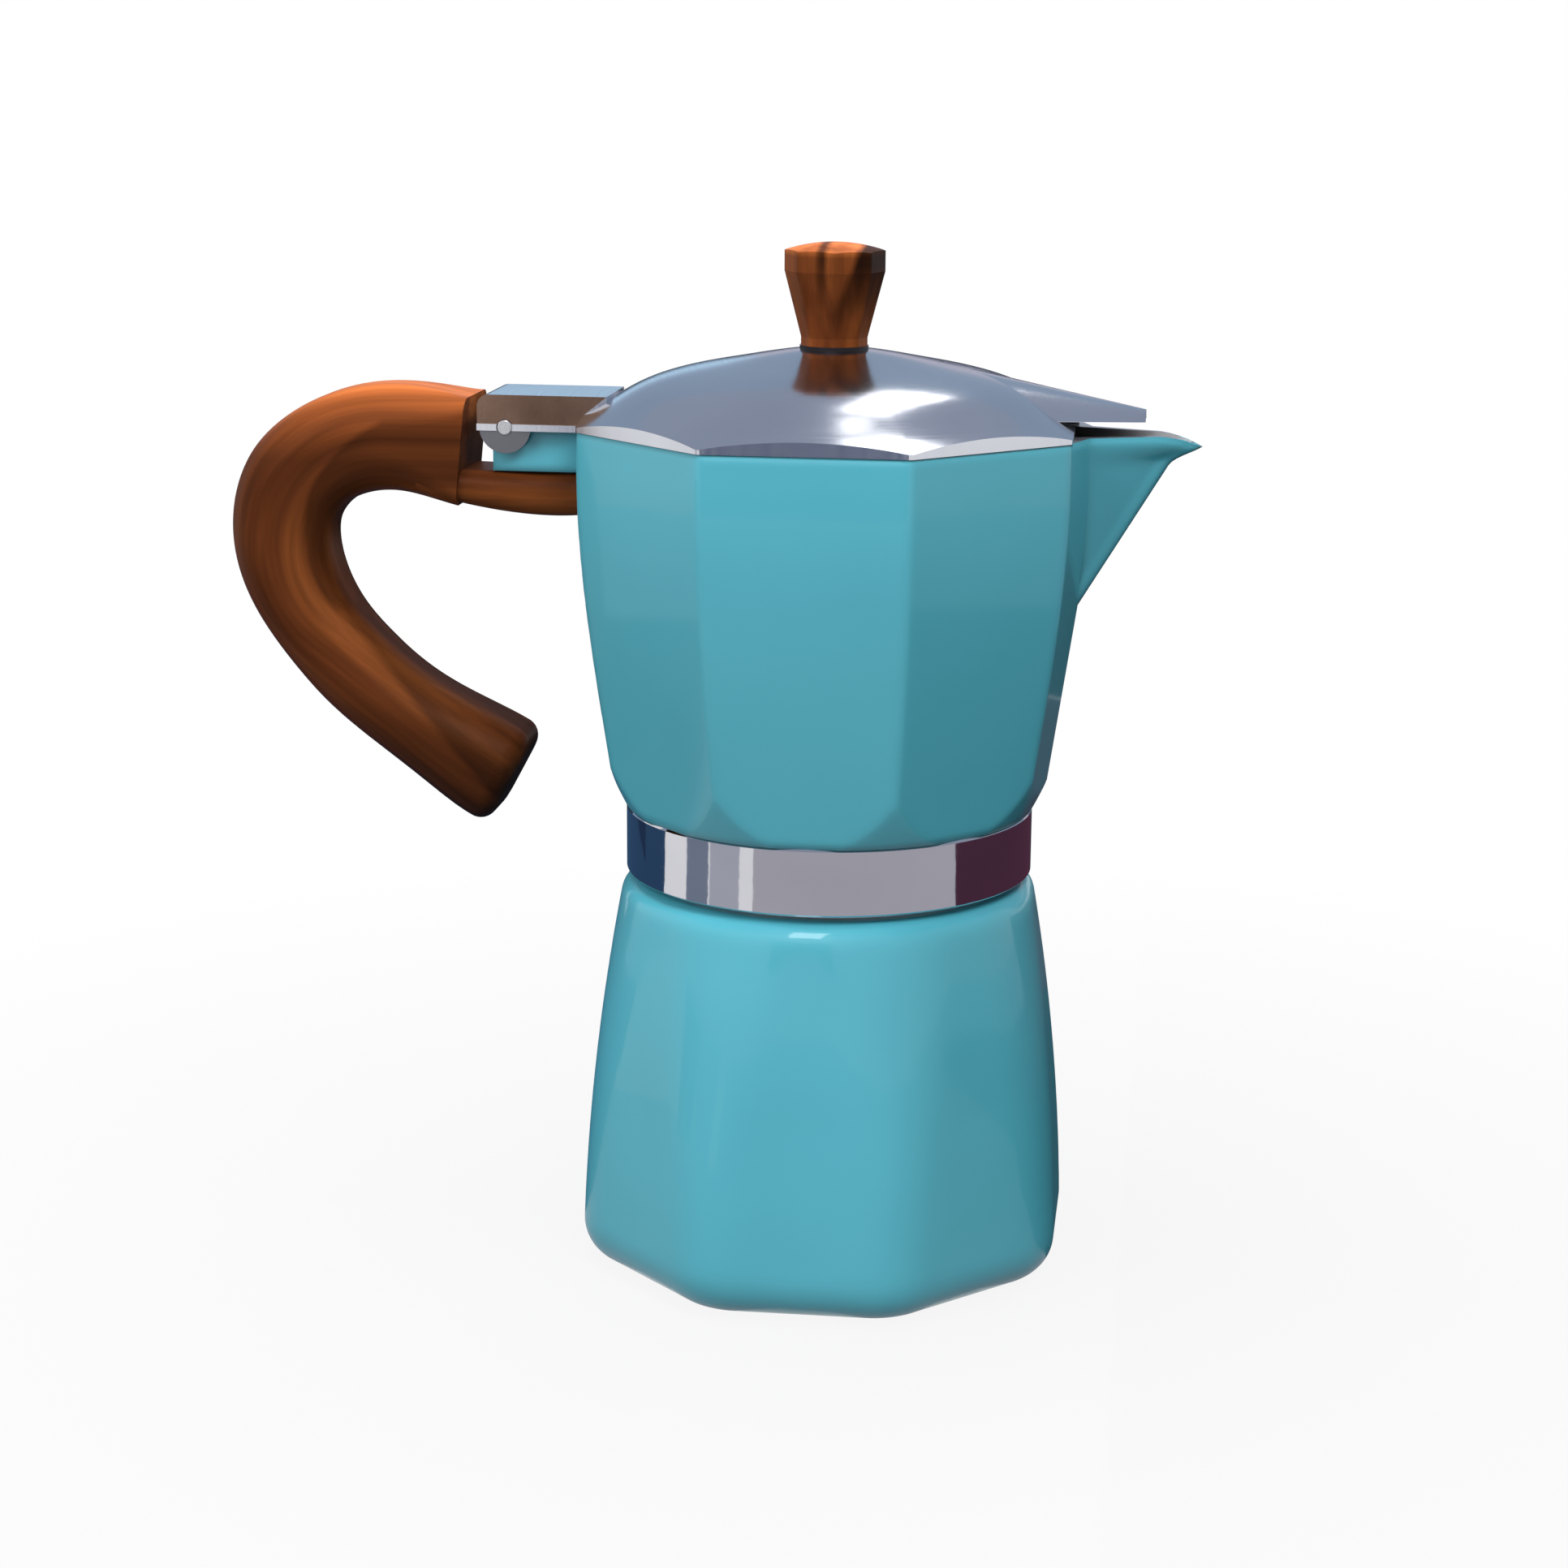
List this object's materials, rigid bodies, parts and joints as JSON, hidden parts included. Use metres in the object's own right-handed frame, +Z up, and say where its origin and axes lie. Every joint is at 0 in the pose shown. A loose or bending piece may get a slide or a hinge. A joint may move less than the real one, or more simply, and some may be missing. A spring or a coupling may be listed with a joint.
{
  "type": "moka pot",
  "caption": "Eight-sided stove-top moka pot with a painted boiler and jug, polished waist band, hinged domed lid, V spout, curved grip and safety valve.",
  "frame": {"origin": "middle of the boiler's foot on the stove", "axes": "+Z up, +X towards the spout, -X towards the handle, +Y towards the safety valve"},
  "size_m": [0.189, 0.1032, 0.201],
  "materials": {
    "turquoise_paint": "gloss enamel on cast aluminium",
    "cast_aluminium": "bare satin",
    "polished_metal": "mirror polished",
    "stainless_steel": "bright",
    "valve_brass": "turned",
    "seal_rubber": "matt",
    "grip_wood": "lacquered brown grain"
  },
  "bodies": {
    "boiler": {"boiler_body": "turquoise_paint", "valve_body": "valve_brass", "valve_washer": "seal_rubber", "valve_retainer": "valve_brass", "valve_spring": "stainless_steel"},
    "plunger": {"valve_plunger": "valve_brass"},
    "funnel": {"funnel_cup": "cast_aluminium", "funnel_stem": "cast_aluminium", "funnel_screen": "cast_aluminium"},
    "filter": {"gasket": "seal_rubber", "filter_plate": "cast_aluminium"},
    "collector": {"upper_chamber": "turquoise_paint", "waist_band": "polished_metal", "coffee_column": "cast_aluminium", "hinge_pin": "stainless_steel", "handle": "grip_wood", "handle_screw": "stainless_steel", "handle_washer": "stainless_steel"},
    "lid": {"lid": "polished_metal", "lid_knob": "grip_wood", "knob_insert": "valve_brass", "knob_washer": "stainless_steel", "knob_screw": "stainless_steel"}
  },
  "joints": [
    {"name": "valve_lift", "type": "slide", "parent": "boiler", "child": "plunger", "axis": [0, 1, 0], "range_m": [0, 0.0015], "stiffness_N_per_m": 400, "springref_m": -0.004, "deforming": ["valve_spring"]},
    {"name": "funnel_lift", "type": "slide", "parent": "boiler", "child": "funnel", "axis": [0, 0, 1], "range_m": [0, 0.1]},
    {"name": "collector_lift", "type": "slide", "parent": "funnel", "child": "filter", "axis": [0, 0, 1], "range_m": [0, 0.0062]},
    {"name": "collector_unscrew", "type": "hinge", "parent": "filter", "child": "collector", "pos_m": [0, 0, 0.09], "axis": [0, 0, 1], "range_deg": [0, 720]},
    {"name": "lid_hinge", "type": "hinge", "parent": "collector", "child": "lid", "pos_m": [-0.0623, 0, 0.1654], "axis": [0, -1, 0], "range_deg": [0, 100]}
  ],
  "couplings": [
    {"joint": "collector_lift", "follows": "collector_unscrew", "m_per_rad": 0.00047746}
  ]
}
